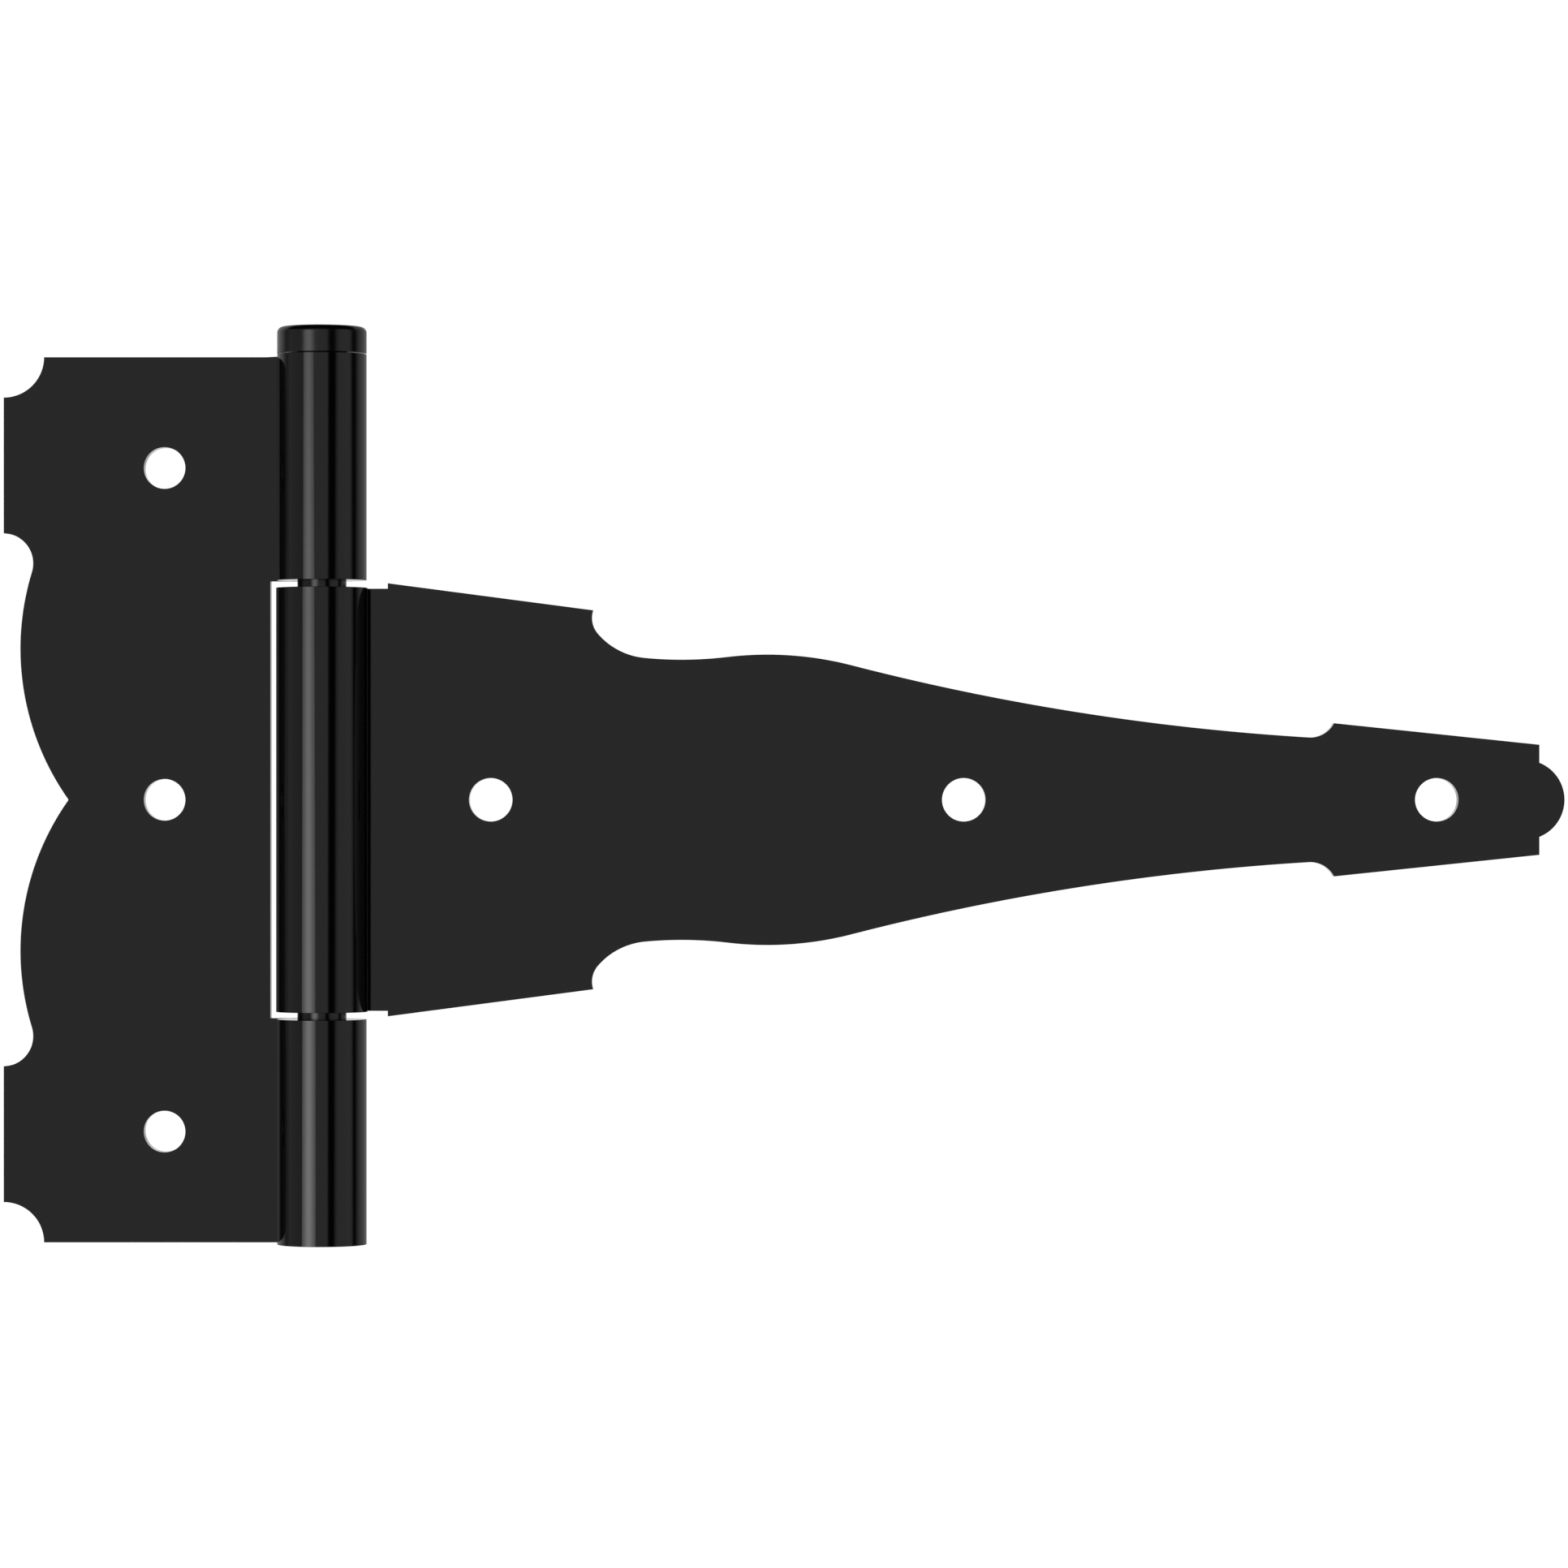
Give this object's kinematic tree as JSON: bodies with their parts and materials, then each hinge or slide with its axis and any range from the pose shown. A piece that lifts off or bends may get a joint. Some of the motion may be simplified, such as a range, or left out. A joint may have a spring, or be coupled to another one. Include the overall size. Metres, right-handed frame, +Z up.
{
  "type": "t hinge",
  "caption": "Heavy strap T hinge: scalloped upright jamb leaf, long tapered strap leaf with a rounded tip, and a capped pin through rolled knuckles.",
  "frame": {"origin": "centre of the jamb leaf's middle screw hole, on the mounting plane shared by the backs of both leaves", "axes": "+X along the strap to its tip, +Z up along the pin towards its cap, -Y out of the face side, where the barrel stands proud, +Y into the door and jamb"},
  "size_m": [0.2557, 0.0155, 0.1496],
  "materials": {
    "gloss_black_paint": "gloss black powder coat on pressed steel sheet",
    "gloss_black_pin": "gloss black coat on a turned steel pin"
  },
  "bodies": {
    "jamb": {"jamb_leaf": "gloss_black_paint", "hinge_pin": "gloss_black_pin"},
    "strap": {"strap_leaf": "gloss_black_paint"}
  },
  "joints": [
    {"name": "strap_swing", "type": "hinge", "parent": "jamb", "child": "strap", "pos_m": [0.0261, -0.008, 0], "axis": [0, 0, -1], "range_deg": [-90, 180]}
  ]
}
